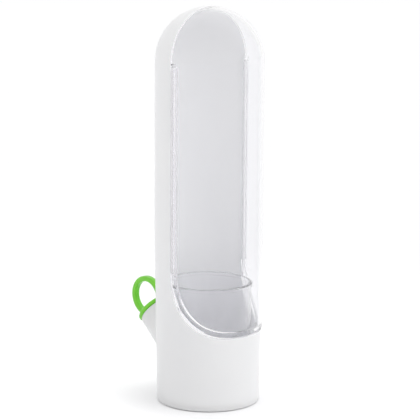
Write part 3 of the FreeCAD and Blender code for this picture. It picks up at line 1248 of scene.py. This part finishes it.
@dataclass(frozen=True)
class Studio:
    """Pale floor with painted light that lightens the object's shadow away from its foot, even
    light from all round, one broad lamp and the camera.
    """

    floor_reach: float = 14.0       # m
    floor_colour: str = "#F8F8F9"
    fibre_size: float = 1.2         # mm, of the floor's paper
    fibre_height: float = 0.01      # mm
    # Painted light on the floor, seen only by the eye and by mirrors: its strength at the foot, in
    # a ring round the object where it lightens the object's shadow, and far off, and the distances
    # from the axis, in metres, between which it grows and then fades.
    painted_glow: tuple[float, float, float] = (0.07, 0.18, 0.04)
    painted_glow_grows: tuple[float, float] = (0.04, 0.075)
    painted_glow_fades: tuple[float, float] = (0.12, 0.6)
    fill: tuple[float, float] = (0.45, 1.2)     # strength of the even light, level and from above
    brighter_from: tuple[float, float, float] = (0.1, -0.01, 0.0)   # what a brighter side adds
    lamp: BroadLamp = BroadLamp()
    camera_place: tuple[float, float, float] = (-920.57, -917.90, 381.73)   # mm
    heading: float = math.radians(44.886)       # from +X
    pitch: float = math.radians(10.682)         # downwards
    roll: float = math.radians(-0.3635)
    lens: float = 161.98            # mm
    sensor: float = 36.0            # mm
    bounces: int = 64               # light runs a long way inside the clear frame

    def add_floor(self) -> None:
        """Adds the floor, which keeps the object's shadow near the foot; painted light lightens
        that shadow further out.
        """
        mesh = bmesh.new()
        reach = self.floor_reach / MM
        loft(mesh, [[Vector((x, y, 0)) for x in (-reach, reach)] for y in (-reach, reach)])
        floor = mesh_object(mesh, "floor")
        material, tree = new_material("matt_white_paper")
        fibre = relief(tree, [(noise_of(tree, self.fibre_size), self.fibre_height)])
        paper = add_node(tree, "ShaderNodeBsdfDiffuse", inputs={
            "Color": hex_colour(self.floor_colour), "Normal": fibre})
        # painted light: the floor glows for the eye and mirrors only, most in a ring where it
        # lightens the object's shadow
        shown = add_node(tree, "ShaderNodeMath", {"operation": "MULTIPLY"}, {
            0: ray_is(tree, SEEING), 1: self.painted_glow_of(tree)})
        painted_glow = add_node(tree, "ShaderNodeEmission", inputs={
            "Color": PURE_WHITE, "Strength": shown.outputs[0]})
        both = add_node(tree, "ShaderNodeAddShader", inputs={
            0: paper.outputs[0], 1: painted_glow.outputs[0]})
        add_node(tree, "ShaderNodeOutputMaterial", inputs={"Surface": both.outputs[0]})
        floor.data.materials.append(material)

    def painted_glow_of(self, tree: NodeTree) -> NodeSocket:
        """Makes the strength of the floor's painted light, which lightens the object's shadow, by
        distance from the axis.

        Args:
            tree: The floor's node tree.

        Returns:
            The strength.
        """
        foot, ring, far = self.painted_glow
        place = add_node(tree, "ShaderNodeTexCoord").outputs["Object"]
        away = add_node(tree, "ShaderNodeVectorMath", {"operation": "LENGTH"}, {0: place})
        strength: Any = foot
        for (start, end), level in ((self.painted_glow_grows, ring), (self.painted_glow_fades, far)):
            strength = add_node(tree, "ShaderNodeMapRange", {"interpolation_type": "SMOOTHSTEP"}, {
                "Value": away.outputs["Value"], "From Min": start, "From Max": end,
                "To Min": strength, "To Max": level}).outputs["Result"]
        return strength

    def add_light(self) -> None:
        """Adds the even light and the lamp."""
        world = bpy.data.worlds.new("studio")
        bpy.context.scene.world = world
        world.use_nodes = True
        tree = world.node_tree
        tree.nodes.clear()
        direction = add_node(tree, "ShaderNodeTexCoord").outputs["Generated"]
        height = add_node(tree, "ShaderNodeSeparateXYZ", inputs={0: direction}).outputs["Z"]
        fill = add_node(tree, "ShaderNodeMapRange", inputs={
            "Value": height, "To Min": self.fill[0], "To Max": self.fill[1]})
        backdrop = add_node(tree, "ShaderNodeVectorMath", {"operation": "DOT_PRODUCT"}, {
            0: direction, 1: self.brighter_from})
        both = add_node(tree, "ShaderNodeMath", {"operation": "ADD"}, {
            0: fill.outputs["Result"], 1: backdrop.outputs["Value"]})
        share, unseen, seen, result = NUMBER_MIX
        strength = add_node(tree, "ShaderNodeMix", {"data_type": "FLOAT"}, {
            share: ray_is(tree, SEEING), unseen: both.outputs[0], seen: 1.0})
        sky = add_node(tree, "ShaderNodeBackground", inputs={
            "Color": PURE_WHITE, "Strength": strength.outputs[result]})
        add_node(tree, "ShaderNodeOutputWorld", inputs={"Surface": sky.outputs[0]})
        self.lamp.add()

    def add_camera(self) -> None:
        """Adds the camera."""
        ahead = Vector((math.cos(self.heading), math.sin(self.heading), 0))
        sky = Vector((0, 0, 1))
        right = ahead.cross(sky)
        forward = ahead * math.cos(self.pitch) - sky * math.sin(self.pitch)
        up = sky * math.cos(self.pitch) + ahead * math.sin(self.pitch)
        across = right * math.cos(self.roll) - up * math.sin(self.roll)
        above = right * math.sin(self.roll) + up * math.cos(self.roll)
        data = bpy.data.cameras.new("camera")
        data.lens = self.lens
        data.sensor_width = self.sensor
        camera = new_object("camera", data)
        turn = Matrix((across, above, -forward)).transposed().to_4x4()
        camera.matrix_world = Matrix.Translation(Vector(self.camera_place) * MM) @ turn
        bpy.context.scene.camera = camera

    def add(self) -> None:
        """Sets up the studio."""
        self.add_floor()
        self.add_light()
        self.add_camera()
        bpy.context.scene.view_settings.view_transform = "Standard"
        light_paths = bpy.context.scene.cycles
        light_paths.max_bounces = self.bounces
        light_paths.glossy_bounces = self.bounces
        light_paths.transmission_bounces = self.bounces
        light_paths.transparent_max_bounces = 2 * self.bounces


# --- assembly -----------------------------------------------------------------------------------
def main() -> None:
    """Builds the pieces in order."""
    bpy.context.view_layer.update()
    low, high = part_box("back_shell")
    form = BodyForm(height=round(high[2] / MM, 1), radius=round(-low[0] / MM, 1))
    rails = RailFit()
    axis = SpoutAxis()
    for part in (BackShell(form, rails, Spout(axis)), FrontCover(form, rails), FillerPlug(axis),
                 KeptNode("base_plate", MATT_ABS), KeptNode("herb_basket", FROSTED_SAN)):
        piece = part.add()
        log.info("%s: %d faces in %s", piece.name, len(piece.data.polygons), part.finish.name)
    Studio().add()


if __name__ == "__main__":
    logging.basicConfig(level=logging.INFO, format="%(message)s")
    main()
